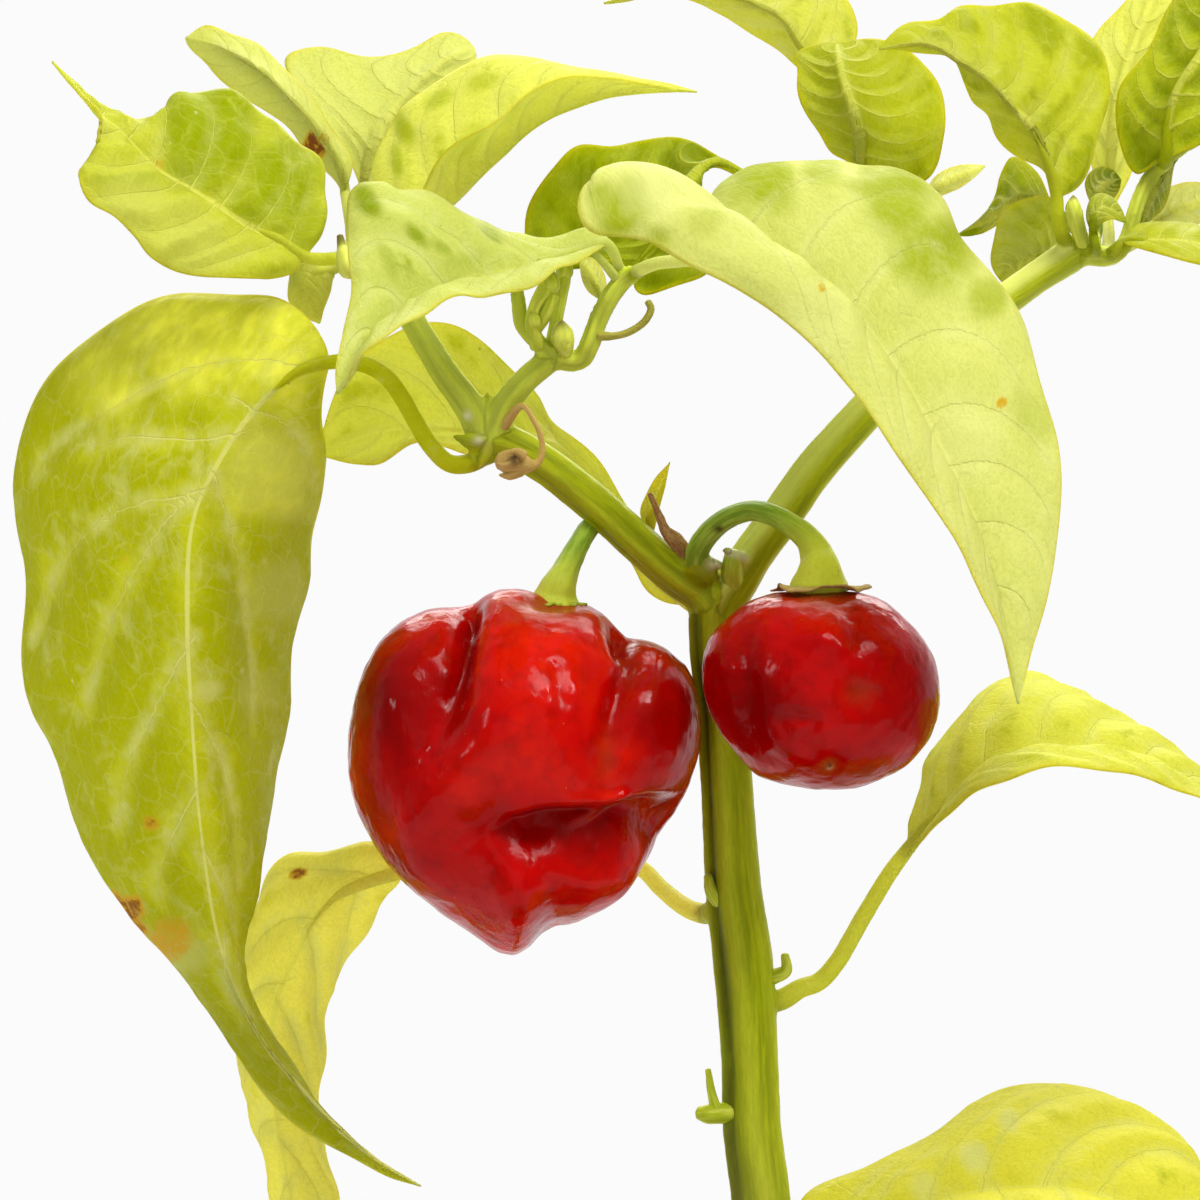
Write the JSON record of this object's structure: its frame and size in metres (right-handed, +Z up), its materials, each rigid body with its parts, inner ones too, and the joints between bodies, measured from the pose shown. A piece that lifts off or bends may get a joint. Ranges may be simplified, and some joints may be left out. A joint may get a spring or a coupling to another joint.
{
  "type": "potted chilli pepper plant",
  "caption": "Chilli pepper plant with wrinkled and round red pods and yellow-green leaves on a forked green stem, standing in soil in a plain terracotta pot.",
  "frame": {"origin": "middle of the pot's underside, on the surface it stands on", "axes": "+Z up; +X to the right and +Y away from the viewer in the picture's view; the main stem rises near the Z axis"},
  "size_m": [0.1671, 0.1463, 0.3743],
  "materials": {
    "terracotta": "matte",
    "potting_soil": "matte",
    "green_stem": "satin",
    "pod_stalk": "satin",
    "leaf": "satin",
    "pod_skin": "gloss",
    "dried_tissue": "matte"
  },
  "bodies": {
    "root": {"axil_bud_left": "green_stem", "axil_bud_right": "green_stem", "bud_shoot_tip": "green_stem", "dried_flower": "dried_tissue", "dry_scar_fork": "dried_tissue", "flower_bud_axil": "green_stem", "flower_bud_stalk": "green_stem", "flower_bud_upper": "green_stem", "flower_buds": "green_stem", "hooked_flower_stalk": "green_stem", "large_pod": "pod_skin", "large_pod_stalk": "pod_stalk", "leaf_arm_dark": "leaf", "leaf_back_narrow": "leaf", "leaf_back_wide": "leaf", "leaf_behind_branch": "leaf", "leaf_crinkled": "leaf", "leaf_far_pale": "leaf", "leaf_far_right": "leaf", "leaf_left_big": "leaf", "leaf_left_near": "leaf", "leaf_low_back": "leaf", "leaf_low_left": "leaf", "leaf_low_right": "leaf", "leaf_lower_left": "leaf", "leaf_lower_right": "leaf", "leaf_node_behind": "leaf", "leaf_node_dark": "leaf", "leaf_node_left": "leaf", "leaf_node_right": "leaf", "leaf_node_young": "leaf", "leaf_pale_right": "leaf", "leaf_right_big": "leaf", "leaf_right_dark": "leaf", "leaf_right_mid": "leaf", "leaf_top_folded": "leaf", "leaf_upper_far": "leaf", "leaf_upper_front": "leaf", "leaf_upper_mid": "leaf", "leaf_upper_right": "leaf", "leaflet_curled": "leaf", "leaflet_pale": "leaf", "leaflet_yellow": "leaf", "pot": "terracotta", "small_pod": "pod_skin", "small_pod_stalk": "pod_stalk", "soil": "potting_soil", "stem": "green_stem", "stub_fork": "green_stem", "stub_lower_left": "green_stem"}
  },
  "joints": []
}
